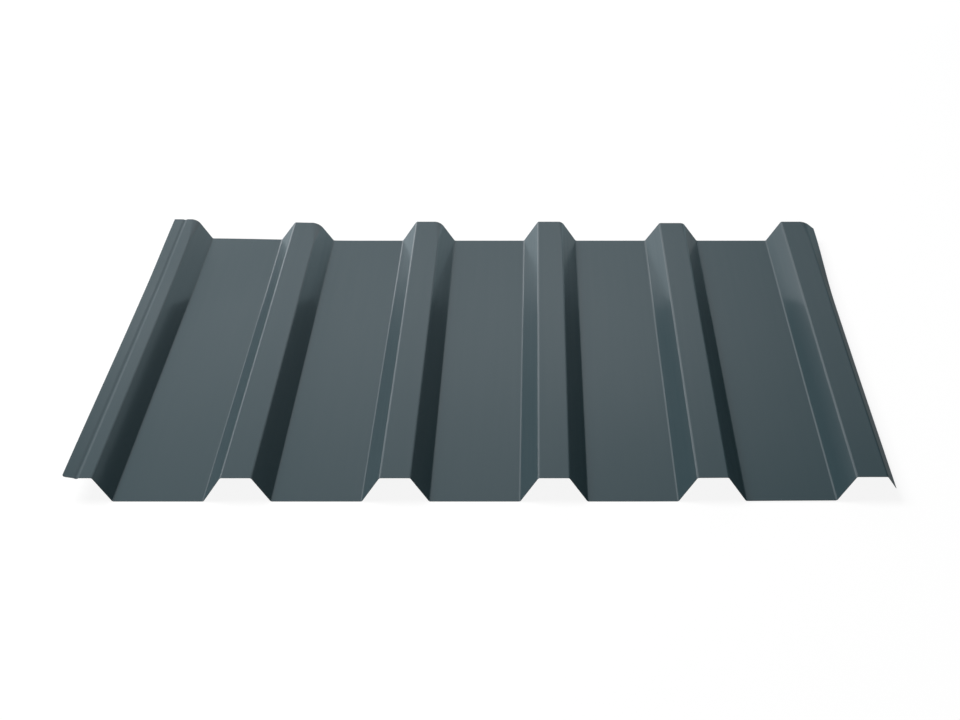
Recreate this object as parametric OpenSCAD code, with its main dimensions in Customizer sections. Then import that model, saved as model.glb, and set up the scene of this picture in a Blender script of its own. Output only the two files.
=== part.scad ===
// Box-profile roofing sheet: one strip of coated steel, cold-rolled into flat pans and
// trapezoidal ribs. It lies on its pans, with the ribs along Y and the top coat upwards.
// Widths and heights of the profile are taken between bend lines on the underside.

/* [Sheet] */
// Length of the sheet along its ribs
sheet_length = 875; // [200:5:6000]
// Thickness of the coated steel
steel_thickness = 0.5; // [0.4:0.05:1.2]

/* [Profile] */
// Number of flat pans, with a rib on either side of each
pan_count = 5; // [1:1:8]
// Width of a pan between its bend lines
pan_width = 119; // [60:1:200]
// Width of a rib's crown between its bend lines
crown_width = 40; // [30:1:80]
// Height of a rib's crown above the pans
rib_height = 35; // [25:0.5:60]
// Sideways run of a rib's sloping web, from pan to crown
web_run = 24; // [10:0.5:40]
// Inside radius of the rolled bends
bend_radius = 3; // [1:0.25:5]

/* [Side laps] */
// Width of the underlapping rib's crown, from its bend line to the sheet's edge
underlap_width = 38; // [32:1:60]
// Distance of the anti-capillary groove's middle from that bend line
groove_place = 20; // [16:0.5:24]
// Width of the anti-capillary groove, pressed along the underlapping rib's crown
groove_width = 6; // [5:0.5:10]
// Depth of the anti-capillary groove
groove_depth = 1.6; // [1:0.1:2.5]
// Drop of the drip lip at the edge of the overlapping rib
lip_drop = 17; // [8:0.5:22]

/* [Hidden] */
$fn = 96;
coat_colour = "#56646a";

web_angle = atan2(rib_height, web_run);
web_length = norm([web_run, rib_height]);
lip_length = lip_drop / sin(web_angle);

// What a bend takes off the flats on either side of its bend line
pan_setback = (bend_radius + steel_thickness) * tan(web_angle / 2);
crown_setback = bend_radius * tan(web_angle / 2);

pan_flat = pan_width - 2 * pan_setback;
web_flat = web_length - pan_setback - crown_setback;
crown_flat = crown_width - 2 * crown_setback;
lip_flat = lip_length - crown_setback;

// Each side of the groove is an S of two equal bends, with no flat between them
groove_angle = 2 * atan2(groove_depth, groove_width / 2);
groove_radius = (groove_width / (2 * sin(groove_angle)) - steel_thickness) / 2;
outer_shoulder = underlap_width - groove_place - groove_width / 2;
inner_shoulder = groove_place - groove_width / 2 - crown_setback;

ribs_and_pans = underlap_width + pan_count * (pan_width + 2 * web_run + crown_width);
lip_reach = lip_length * cos(web_angle) + steel_thickness * sin(web_angle);
overall_width = ribs_and_pans + lip_reach;

// A pass of the rolls: the length of a flat, then the turn and inside radius of the bend after it.
// Turns are positive upwards.
underlap_crown = [
    [outer_shoulder, -groove_angle, groove_radius],
    [0, groove_angle, groove_radius],
    [0, groove_angle, groove_radius],
    [0, -groove_angle, groove_radius],
    [inner_shoulder, -web_angle, bend_radius]
];
pan_between_webs = [
    [web_flat, web_angle, bend_radius],
    [pan_flat, web_angle, bend_radius],
    [web_flat, -web_angle, bend_radius]
];
crown = [[crown_flat, -web_angle, bend_radius]];
drip_lip = [[lip_flat, 0, bend_radius]];
passes = [
    each underlap_crown,
    for (pan = [1 : pan_count]) each concat(pan_between_webs, crown),
    each drip_lip
];

// Height of a bend's centre above the underside of the strip that enters it
function bend_centre(turn, radius) = turn > 0 ? radius + steel_thickness : -radius;

// One rolled bend, starting at the origin of a strip that runs along X
module bend(turn, radius) {
    outside = radius + steel_thickness;
    reach = 2 * outside;
    translate([0, bend_centre(turn, radius)])
        difference() {
            circle(outside);
            circle(radius);
            translate([-reach, -reach])
                square([reach, 2 * reach]);
            rotate(turn)
                translate([0, -reach])
                    square([reach, 2 * reach]);
        }
}

// Places what follows a bend at the bend's far end, heading the new way
module after_bend(turn, radius) {
    translate([0, bend_centre(turn, radius)])
        rotate(turn)
            translate([0, -bend_centre(turn, radius)])
                children();
}

// The section of the strip from one pass to the last, each flat and bend carrying the next
module strip(pass) {
    flat = passes[pass][0];
    turn = passes[pass][1];
    radius = passes[pass][2];
    if (flat > 0)
        square([flat, steel_thickness]);
    if (turn != 0)
        translate([flat, 0]) {
            bend(turn, radius);
            after_bend(turn, radius)
                strip(pass + 1);
        }
}

// The whole sheet, centred over its footprint with the pans' underside at height 0
module profiled_sheet() {
    color(coat_colour)
        rotate([90, 0, 0])
            linear_extrude(height = sheet_length, center = true)
                translate([-overall_width / 2, rib_height])
                    strip(0);
}

profiled_sheet();
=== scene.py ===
import math

import bmesh
import bpy
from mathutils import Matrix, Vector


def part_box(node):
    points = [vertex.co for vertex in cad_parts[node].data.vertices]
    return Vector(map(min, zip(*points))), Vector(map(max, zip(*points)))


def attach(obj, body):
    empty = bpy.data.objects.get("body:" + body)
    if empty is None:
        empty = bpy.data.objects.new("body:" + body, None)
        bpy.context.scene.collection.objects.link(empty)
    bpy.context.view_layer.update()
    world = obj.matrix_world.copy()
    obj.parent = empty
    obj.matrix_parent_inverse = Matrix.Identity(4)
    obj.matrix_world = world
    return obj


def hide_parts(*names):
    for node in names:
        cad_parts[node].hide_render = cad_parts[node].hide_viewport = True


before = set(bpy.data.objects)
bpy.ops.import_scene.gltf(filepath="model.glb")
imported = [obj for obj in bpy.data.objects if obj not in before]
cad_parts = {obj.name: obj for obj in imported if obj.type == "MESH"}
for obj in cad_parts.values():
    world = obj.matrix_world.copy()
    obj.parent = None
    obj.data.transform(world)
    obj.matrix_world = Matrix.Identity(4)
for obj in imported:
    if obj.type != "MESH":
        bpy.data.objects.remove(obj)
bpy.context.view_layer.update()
bpy.context.scene.view_settings.view_transform = "Standard"


# The camera stands in front of the sheet, a little right of its middle, and looks down along the ribs.
# The photograph is cropped off-centre, so the lens is shifted sideways by a few percent.
camera_place = (0.0739, -2.6129, 1.2864)
camera_tilt = math.radians(63.6)
focal_length = 72.33
sideways_shift = -0.059

bpy.ops.object.camera_add(location=camera_place, rotation=(camera_tilt, 0, 0))
camera = bpy.context.object
camera.name = "photo_camera"
camera.data.lens = focal_length
camera.data.shift_x = sideways_shift
bpy.context.scene.camera = camera


# The sheet is one strip of galvanised steel, coated slate grey above and plain grey below. Rolls press its
# pans, webs and crowns, with a groove along one edge and a drip lip along the other, and a shear cuts it off.
low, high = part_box("profiled_sheet")
steel_thickness = 0.0005
pan_count = 5
pan_width = 0.119
crown_width = 0.040
web_run = 0.024
bend_radius = 0.003
underlap_width = 0.038
groove_place = 0.020
groove_width = 0.006
groove_depth = 0.0016
lip_drop = 0.017

# Bends and marks that the shear and handling have left, and how far along the sheet each one reaches
lip_flare = (0.0042, 0, 0.0045)
lip_flare_reach = 0.3
edge_tilt = (0, 0, 0.0025)
edge_tilt_reach = 0.5
corner_clip = 0.0045
shoulder_growths = (5, 6, 5, 3, 2.5, 4.5)
shoulder_reach = 0.09
crown_squashes = (0, 0.08, 0, 0, 0.07, 0)
squash_reach = 0.2
left_corner_rise = (0, 0, 0.0045)
left_corner_reach = 0.28
right_corner_rise = (0, 0, 0.0018)
right_corner_reach = 0.35

# How finely the mesh is divided
rows_along_ribs = 70
rows_near_ends = (0.003, 0.008, 0.016)
pan_columns = 8
web_columns = 3
crown_columns = 2
bend_segments = 7
groove_segments = 4
groove_round_share = 0.46
corner_segments = 3
corner_profile = 0.5
line_tolerance = 0.0001
smooth_angle = math.radians(35)

# Tones, roughness and gloss of the finishes, and their noises with so many features to the metre
slate_dark = (0.033, 0.064, 0.075)
slate_light = (0.035, 0.066, 0.077)
slate_clouds = 4
slate_roughness = (0.36, 0.40)
roll_marks = 120
roll_mark_stretch = (1, 0.02, 1)
slate_grain = 700
slate_refraction = 1.5
clear_roughness = 0.13
flat_gloss = (0.3, 0.09)
burnished_gloss = (0.5, 0.22)
backing_dark = (0.26, 0.27, 0.26)
backing_light = (0.32, 0.33, 0.32)
backing_streaks = 60
streak_stretch = (1, 0.03, 1)
streak_detail = 4
backing_roughness = (0.42, 0.55)
backing_grain = 500
grain_depth = 0.000004
# The sheared steel tones are bare steel made much darker than it is, as painted shade on the cut rim
steel_dark_painted_shade = (0.06, 0.065, 0.07)
steel_light_painted_shade = (0.16, 0.165, 0.17)
shear_burr = 900
burr_detail = 3
steel_roughness = (0.45, 0.65)
steel_metal_share = 0.7

sheet_length = high.y - low.y
half_length = sheet_length / 2
rib_height = high.z - low.z - steel_thickness
web_angle = math.atan2(rib_height, web_run)
bend_share = math.tan(web_angle / 2)
top_shift = steel_thickness * bend_share
outer_shoulder = underlap_width - groove_place - groove_width / 2
inner_shoulder = groove_place - groove_width / 2 + top_shift
lip_length = lip_drop / math.sin(web_angle) + top_shift
lip_run = lip_length * math.cos(web_angle)
lip_fall = lip_length * math.sin(web_angle)

# Each flat of the upper face after the outer shoulder: its run to the right, its rise and its columns
underlap_crown = [
    (groove_width / 2, -groove_depth, 1),
    (groove_width / 2, groove_depth, 1),
    (inner_shoulder, 0, 1),
]
pan_and_rib = [
    (web_run, -rib_height, web_columns),
    (pan_width - 2 * top_shift, 0, pan_columns),
    (web_run, rib_height, web_columns),
    (crown_width + 2 * top_shift, 0, crown_columns),
]
flats = underlap_crown + pan_count * pan_and_rib + [(lip_run, -lip_fall, 1)]


def finish_material(name):
    """A new material with its Principled shader and the place of each point on the sheet."""
    material = bpy.data.materials.new(name)
    material.use_nodes = True
    nodes = material.node_tree.nodes
    shader = nodes["Principled BSDF"]
    place = nodes.new("ShaderNodeTexCoord")
    return material, shader, place.outputs["Object"]


def noise(material, place, scale, stretch=(1, 1, 1), detail=2.0):
    """A noise with so many features to the metre, drawn out along an axis where its stretch is below 1."""
    tree = material.node_tree
    mapping = tree.nodes.new("ShaderNodeMapping")
    mapping.inputs["Scale"].default_value = stretch
    texture = tree.nodes.new("ShaderNodeTexNoise")
    texture.inputs["Scale"].default_value = scale
    texture.inputs["Detail"].default_value = detail
    tree.links.new(place, mapping.inputs["Vector"])
    tree.links.new(mapping.outputs["Vector"], texture.inputs["Vector"])
    return texture.outputs["Fac"]


def ranged(material, value, lowest, highest):
    """Spreads the middle of a noise over a range of values."""
    middle_low = 0.3
    middle_high = 0.7
    spread = material.node_tree.nodes.new("ShaderNodeMapRange")
    spread.inputs["From Min"].default_value = middle_low
    spread.inputs["From Max"].default_value = middle_high
    spread.inputs["To Min"].default_value = lowest
    spread.inputs["To Max"].default_value = highest
    material.node_tree.links.new(value, spread.inputs["Value"])
    return spread.outputs["Result"]


def tones(material, value, dark, light):
    """A colour between two tones, by a noise."""
    mix = material.node_tree.nodes.new("ShaderNodeMix")
    mix.data_type = "RGBA"
    mix.inputs["A"].default_value = (*dark, 1)
    mix.inputs["B"].default_value = (*light, 1)
    material.node_tree.links.new(value, mix.inputs["Factor"])
    return mix.outputs["Result"]


def relief(material, shader, value, depth):
    """A fine relief of the surface, by a noise, so many metres deep."""
    bump = material.node_tree.nodes.new("ShaderNodeBump")
    bump.inputs["Distance"].default_value = depth
    material.node_tree.links.new(value, bump.inputs["Height"])
    material.node_tree.links.new(bump.outputs["Normal"], shader.inputs["Normal"])


# The top coat is glossier on the bends that the rolls have burnished than on the rest of the sheet
top_coats = []
for name, (clear_weight, specular) in (
    ("slate_coil_coat", flat_gloss),
    ("burnished_bend_coat", burnished_gloss),
):
    top_coat, shader, place = finish_material(name)
    links = top_coat.node_tree.links
    clouds = noise(top_coat, place, slate_clouds)
    links.new(tones(top_coat, clouds, slate_dark, slate_light), shader.inputs["Base Color"])
    marks = noise(top_coat, place, roll_marks, roll_mark_stretch)
    links.new(ranged(top_coat, marks, *slate_roughness), shader.inputs["Roughness"])
    relief(top_coat, shader, noise(top_coat, place, slate_grain), grain_depth)
    shader.inputs["IOR"].default_value = slate_refraction
    shader.inputs["Specular IOR Level"].default_value = specular
    shader.inputs["Coat Weight"].default_value = clear_weight
    shader.inputs["Coat Roughness"].default_value = clear_roughness
    top_coats.append(top_coat)

backing_coat, shader, place = finish_material("grey_backing_coat")
links = backing_coat.node_tree.links
streaks = noise(backing_coat, place, backing_streaks, streak_stretch, streak_detail)
links.new(tones(backing_coat, streaks, backing_dark, backing_light), shader.inputs["Base Color"])
links.new(ranged(backing_coat, streaks, *backing_roughness), shader.inputs["Roughness"])
relief(backing_coat, shader, noise(backing_coat, place, backing_grain), grain_depth)

# The cut rim is bare sheared steel with a burr, its tones kept dark as painted shade along the cut edges
sheared_steel_painted_shade, shader, place = finish_material("sheared_steel_painted_shade")
links = sheared_steel_painted_shade.node_tree.links
burr = noise(sheared_steel_painted_shade, place, shear_burr, detail=burr_detail)
links.new(tones(sheared_steel_painted_shade, burr, steel_dark_painted_shade, steel_light_painted_shade), shader.inputs["Base Color"])
links.new(ranged(sheared_steel_painted_shade, burr, *steel_roughness), shader.inputs["Roughness"])
shader.inputs["Metallic"].default_value = steel_metal_share


def select_lines(places):
    """Selects, in edit mode, the edges along the ribs that lie at given places across the sheet."""
    form = bmesh.from_edit_mesh(bpy.context.edit_object.data)
    bpy.ops.mesh.select_mode(type="EDGE")
    bpy.ops.mesh.select_all(action="DESELECT")
    for edge in form.edges:
        start, stop = edge.verts
        on_line = min(abs(start.co.x - place) for place in places) < line_tolerance
        edge.select_set(on_line and abs(stop.co.x - start.co.x) < line_tolerance)
    bmesh.update_edit_mesh(bpy.context.edit_object.data)


def select_points(test):
    """Selects, in edit mode, the visible points that pass a test on their place."""
    form = bmesh.from_edit_mesh(bpy.context.edit_object.data)
    bpy.ops.mesh.select_mode(type="VERT")
    bpy.ops.mesh.select_all(action="DESELECT")
    for vertex in form.verts:
        if not vertex.hide:
            vertex.select_set(test(vertex.co))
    form.select_flush(True)
    bmesh.update_edit_mesh(bpy.context.edit_object.data)


def drag(test, way, reach):
    """Moves the visible points that pass a test, and eases the points around them along, up to a reach."""
    select_points(test)
    bpy.ops.transform.translate(
        value=way, use_proportional_edit=True, proportional_edit_falloff="SMOOTH", proportional_size=reach
    )


def end_share(place, reach):
    """A share that rises smoothly from 0, at a reach before the back end, to 1 at the back end."""
    nearness = max(0, 1 - (half_length - place.y) / reach)
    return nearness ** 2 * (3 - 2 * nearness)


bpy.ops.object.select_all(action="DESELECT")
shoulder_middle = (low.x + outer_shoulder / 2, 0, high.z)
bpy.ops.mesh.primitive_grid_add(
    x_subdivisions=1, y_subdivisions=rows_along_ribs, size=1, location=shoulder_middle
)
sheet = bpy.context.object
sheet.name = "rolled_sheet"
for material in (*top_coats, backing_coat, backing_coat, sheared_steel_painted_shade):
    sheet.data.materials.append(material)
sheet.scale = (outer_shoulder, sheet_length, 1)
bpy.ops.object.transform_apply(location=True, rotation=True, scale=True)

# The strip grows sideways from its left shoulder, one flat after the other
bpy.ops.object.mode_set(mode="EDIT")
bend_lines = []
strip_edge = low.x + outer_shoulder
select_lines([strip_edge])
for run, rise, columns in flats:
    bend_lines.append(strip_edge)
    step = (run / columns, 0, rise / columns)
    for column in range(columns):
        bpy.ops.mesh.extrude_region_move(TRANSFORM_OT_translate={"value": step})
    strip_edge += run

# The groove has the first three bend lines, and each pan and rib after it has four
groove_lines = bend_lines[:3]
right_shoulders = bend_lines[3::4]
pan_lefts = bend_lines[4::4]
pan_rights = bend_lines[5::4]
left_shoulders = bend_lines[6::4]

# Handling has bent the two edges: the lip flares out at the back, and the left edge tips up at the front
for edge_line, end, way, reach in (
    (strip_edge, half_length, lip_flare, lip_flare_reach),
    (low.x, -half_length, edge_tilt, edge_tilt_reach),
):
    select_points(lambda place: abs(place.x - edge_line) < steel_thickness)
    bpy.ops.mesh.hide(unselected=True)
    drag(lambda place: abs(place.y - end) < steel_thickness, way, reach)
    bpy.ops.mesh.reveal(select=False)

# Its bends are rounded: outside the steel on the crowns, inside it along the pans, and tighter in the groove.
# The rolls have burnished the bends of each rib's left flank, from the pan before it up to its crown.
crown_round = (bend_radius + steel_thickness) * bend_share
pan_round = bend_radius * bend_share
groove_round = groove_round_share * math.hypot(groove_width / 2, groove_depth)
plain_slot = 0
burnished_slot = 1
for lines, round_width, segments, coat_slot in (
    (groove_lines, groove_round, groove_segments, plain_slot),
    (right_shoulders, crown_round, bend_segments, plain_slot),
    (pan_lefts, pan_round, bend_segments, plain_slot),
    (pan_rights, pan_round, bend_segments, burnished_slot),
    (left_shoulders, crown_round, bend_segments, burnished_slot),
):
    select_lines(lines)
    bpy.ops.mesh.bevel(offset=round_width, segments=segments, material=coat_slot)

# The front corner of the left edge is knocked off
back_end = half_length - steel_thickness
front_end = steel_thickness - half_length
select_points(lambda place: place.x < low.x + steel_thickness and place.y < front_end)
bpy.ops.mesh.bevel(
    offset_type="OFFSET",
    offset=corner_clip,
    segments=corner_segments,
    profile=corner_profile,
    affect="VERTICES",
)

# Rows of faces are closer together near the two sheared ends
for from_end in rows_near_ends:
    for end in (-1, 1):
        bpy.ops.mesh.select_all(action="SELECT")
        bpy.ops.mesh.bisect(plane_co=(0, end * (half_length - from_end), 0), plane_no=(0, 1, 0))

# The right shoulder of each crown opens out towards the back end, where the shear has pressed it
form = bmesh.from_edit_mesh(sheet.data)
for vertex in form.verts:
    for shoulder, full_growth in zip(right_shoulders, shoulder_growths):
        if abs(vertex.co.x - shoulder) < bend_radius:
            growth = 1 + (full_growth - 1) * end_share(vertex.co, shoulder_reach)
            vertex.co.x = shoulder + growth * (vertex.co.x - shoulder)
            vertex.co.z = high.z + growth * (vertex.co.z - high.z)
bmesh.update_edit_mesh(sheet.data)

# The back ends of two ribs are pressed down a little
for vertex in form.verts:
    for shoulder, squash in zip(right_shoulders, crown_squashes):
        if abs(vertex.co.x - shoulder + crown_width / 2) < crown_width / 2 + web_run:
            vertex.co.z *= 1 - squash * end_share(vertex.co, squash_reach)
bmesh.update_edit_mesh(sheet.data)

# Two corners of the sheet stand up a little: the back left one and the front right one
drag(
    lambda place: place.x < low.x + underlap_width and place.y > back_end,
    left_corner_rise,
    left_corner_reach,
)
drag(
    lambda place: place.x > strip_edge - lip_run and place.y < front_end,
    right_corner_rise,
    right_corner_reach,
)
bpy.ops.object.mode_set(mode="OBJECT")

# The steel lies under the top coat, so the backing coat comes on its lower face and bare steel on its rim,
# with the rim's steel tones darkened as painted shade along the cut edges
steel = sheet.modifiers.new("steel_thickness", "SOLIDIFY")
steel.thickness = steel_thickness
steel.offset = -1
steel.use_even_offset = True
steel.material_offset = len(top_coats)
steel.material_offset_rim = 2 * len(top_coats)
bpy.ops.object.modifier_apply(modifier=steel.name)
bpy.ops.object.shade_smooth_by_angle(angle=smooth_angle)
flat_shading = sheet.modifiers.new("flat_shading", "WEIGHTED_NORMAL")
flat_shading.keep_sharp = True
bpy.ops.object.modifier_apply(modifier=flat_shading.name)
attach(sheet, "root")
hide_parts("profiled_sheet")


# The studio floor is a wide polished board under the sheet, white to the camera and darkened by the sheet's
# shadow. The gloss of the coat sees the board's polish, which mirrors the light panel.
floor_size = 30
floor_gap = 0.0003
white = (1, 1, 1)
white_glow = 0.9
white_shading = 0.14
board_tint = (0.92, 1.04, 1.08)
board_tone = 0.5
polish_share = 0.34
polish_roughness = 0.12
polish_haze = 0.21

bpy.ops.object.select_all(action="DESELECT")
bpy.ops.mesh.primitive_plane_add(size=floor_size, location=(0, 0, low.z - floor_gap))
floor = bpy.context.object
floor.name = "studio_floor"
pale_board = bpy.data.materials.new("pale_polished_board")
pale_board.use_nodes = True
nodes = pale_board.node_tree.nodes
links = pale_board.node_tree.links
nodes.clear()


def joined(operation, first, second):
    """Two values put together by a math node."""
    node = nodes.new("ShaderNodeMath")
    node.operation = operation
    links.new(first, node.inputs[0])
    links.new(second, node.inputs[1])
    return node.outputs["Value"]


def both(first, second):
    """Two shaders added together."""
    node = nodes.new("ShaderNodeAddShader")
    links.new(first, node.inputs[0])
    links.new(second, node.inputs[1])
    return node.outputs["Shader"]


def either(factor, plain, seen):
    """The plain shader, or the seen one where the factor is 1."""
    node = nodes.new("ShaderNodeMixShader")
    links.new(factor, node.inputs["Fac"])
    links.new(plain, node.inputs[1])
    links.new(seen, node.inputs[2])
    return node.outputs["Shader"]


def tinted(kind, tint, share):
    """A shader of one kind, in a share of a tint."""
    node = nodes.new(kind)
    node.inputs["Color"].default_value = (*(share * channel for channel in tint), 1)
    return node


polish = tinted("ShaderNodeBsdfGlossy", board_tint, polish_share)
polish.inputs["Roughness"].default_value = polish_roughness
haze = tinted("ShaderNodeEmission", board_tint, polish_haze)
glow = tinted("ShaderNodeEmission", white, white_glow)
shading = tinted("ShaderNodeBsdfDiffuse", white, white_shading)
board = tinted("ShaderNodeBsdfDiffuse", white, board_tone)
light_path = nodes.new("ShaderNodeLightPath")
in_gloss = joined("MAXIMUM", light_path.outputs["Is Glossy Ray"], light_path.outputs["Is Transmission Ray"])
polished = both(polish.outputs["BSDF"], haze.outputs["Emission"])
white_board = both(shading.outputs["BSDF"], glow.outputs["Emission"])
seen_in_gloss = either(in_gloss, board.outputs["BSDF"], polished)
seen_at_all = either(light_path.outputs["Is Camera Ray"], seen_in_gloss, white_board)
links.new(seen_at_all, nodes.new("ShaderNodeOutputMaterial").inputs["Surface"])
floor.data.materials.append(pale_board)


# The studio light is one softbox, high on the left, and a white panel that stands on the floor behind the
# sheet, hidden from the camera. The panel is brightest low on its left and fades out to the right, and the
# right part of its foot is bluish.
panel_place = 2.0
panel_left = -2.4
panel_right = 1.5
panel_height = 1.7
upright = math.radians(90)
face_tint = (0.98, 0.99, 1.03)
foot_tint = (0.83, 1.06, 1.15)
softbox_place = (-2.7, 0.2, 4.8)
softbox_size = 3.0
softbox_power = 277
air_level = 0.03
front_level = 0.9

# Each fade of the light: the way it runs, where it starts and stops along that way, and its levels there
across = (1, 0, 0)
upwards = (0, 0, 1)
backwards = (0, 1, 0)
up_and_left = (-0.604, 0, 0.797)
up_and_right = (0.579, 0, 0.815)
left_dimming = (across, -0.9, -0.1, 0.94, 1.05)
right_dimming = (across, 0.15, 0.95, 1.16, 0.58)
right_end = (across, 1.05, 1.25, 1, 0)
lower_dimming = (upwards, 0.55, 0.95, 0.57, 1)
lower_right_end = (up_and_left, -0.31, -0.25, 0.08, 1)
middle_glow = (across, 0.05, 0.4, 0.9, 0)
top_dimming = (upwards, 1.05, 1.35, 1, 0.75)
foot_length = (across, 0.95, 1.25, 0.975, 0.5)
foot_height = (upwards, 0.22, 0.28, 1, 0)
wing_width = (across, -1.0, -0.8, 0.18, 0)
wing_bottom = (upwards, 0.36, 0.46, 0, 1)
wing_top = (upwards, 0.9, 1.2, 1, 0)
left_foot_width = (across, -0.55, -0.25, 1.1, 0)
left_foot_height = (upwards, 0.25, 0.3, 1, 0)
left_patch_width = (across, -0.8, -0.6, 1.82, 0)
left_patch_height = (upwards, 0.42, 0.48, 1, 0)
left_patch_bottom = (up_and_right, -0.24, -0.18, 0, 1)
tint_start = (across, 0, 0.3, 0, 1)
front_to_back = (backwards, 0.2, 0.7, front_level, air_level)

bpy.ops.object.select_all(action="DESELECT")
panel_middle = ((panel_left + panel_right) / 2, panel_place, panel_height / 2)
bpy.ops.mesh.primitive_plane_add(size=1, location=panel_middle, rotation=(upright, 0, 0))
panel = bpy.context.object
panel.name = "light_panel"
panel.scale = (panel_right - panel_left, panel_height, 1)
bpy.ops.object.transform_apply(location=True, rotation=True, scale=True)
panel_light = bpy.data.materials.new("panel_light")
panel_light.use_nodes = True
nodes = panel_light.node_tree.nodes
links = panel_light.node_tree.links
nodes.clear()
points = nodes.new("ShaderNodeTexCoord").outputs["Object"]


def fade(way, start, stop, first, last):
    """A brightness that goes smoothly from its first to its last level between two places along a way."""
    along = nodes.new("ShaderNodeVectorMath")
    along.operation = "DOT_PRODUCT"
    along.inputs[1].default_value = way
    links.new(points, along.inputs[0])
    step = nodes.new("ShaderNodeMapRange")
    step.interpolation_type = "SMOOTHSTEP"
    step.inputs["From Min"].default_value = start
    step.inputs["From Max"].default_value = stop
    step.inputs["To Min"].default_value = first
    step.inputs["To Max"].default_value = last
    links.new(along.outputs["Value"], step.inputs["Value"])
    return step.outputs["Result"]


def patch(*fades):
    """A part of the light where all of its fades let it through."""
    level = fade(*fades[0])
    for other in fades[1:]:
        level = joined("MULTIPLY", level, fade(*other))
    return level


face = patch(left_dimming, right_dimming, right_end, lower_dimming, lower_right_end)
face = joined("MULTIPLY", face, joined("MAXIMUM", fade(*middle_glow), fade(*top_dimming)))
face = joined("MAXIMUM", face, patch(foot_length, foot_height))
face = joined("ADD", face, patch(wing_width, wing_bottom, wing_top))
left_foot = patch(left_foot_width, left_foot_height)
left_patch = patch(left_patch_width, left_patch_height, left_patch_bottom)
left_glow = joined("MAXIMUM", left_foot, left_patch)
panel_tint = nodes.new("ShaderNodeMix")
panel_tint.data_type = "RGBA"
panel_tint.inputs["A"].default_value = (*face_tint, 1)
panel_tint.inputs["B"].default_value = (*foot_tint, 1)
links.new(patch(tint_start, foot_height), panel_tint.inputs["Factor"])
panel_glow = nodes.new("ShaderNodeEmission")
links.new(panel_tint.outputs["Result"], panel_glow.inputs["Color"])
links.new(joined("ADD", face, left_glow), panel_glow.inputs["Strength"])
links.new(panel_glow.outputs["Emission"], nodes.new("ShaderNodeOutputMaterial").inputs["Surface"])
panel.data.materials.append(panel_light)
panel.visible_camera = False
panel.visible_shadow = False

# The air is dim, brighter in front of the sheet for its gloss, and white to the camera
world = bpy.data.worlds.new("studio_air")
bpy.context.scene.world = world
world.use_nodes = True
nodes = world.node_tree.nodes
links = world.node_tree.links
points = nodes.new("ShaderNodeTexCoord").outputs["Generated"]
air_path = nodes.new("ShaderNodeLightPath")
lit_air = nodes.new("ShaderNodeMix")
lit_air.inputs["A"].default_value = air_level
links.new(fade(*front_to_back), lit_air.inputs["B"])
links.new(air_path.outputs["Is Glossy Ray"], lit_air.inputs["Factor"])
white_air = joined("MAXIMUM", air_path.outputs["Is Camera Ray"], air_path.outputs["Is Transmission Ray"])
nodes["Background"].inputs["Color"].default_value = (*white, 1)
links.new(joined("MAXIMUM", lit_air.outputs["Result"], white_air), nodes["Background"].inputs["Strength"])

bpy.ops.object.light_add(type="AREA", location=softbox_place)
softbox = bpy.context.object
softbox.name = "softbox"
softbox.data.shape = "SQUARE"
softbox.data.size = softbox_size
softbox.data.energy = softbox_power
softbox.rotation_euler = (-softbox.location).to_track_quat("-Z", "Y").to_euler()
softbox.visible_glossy = False
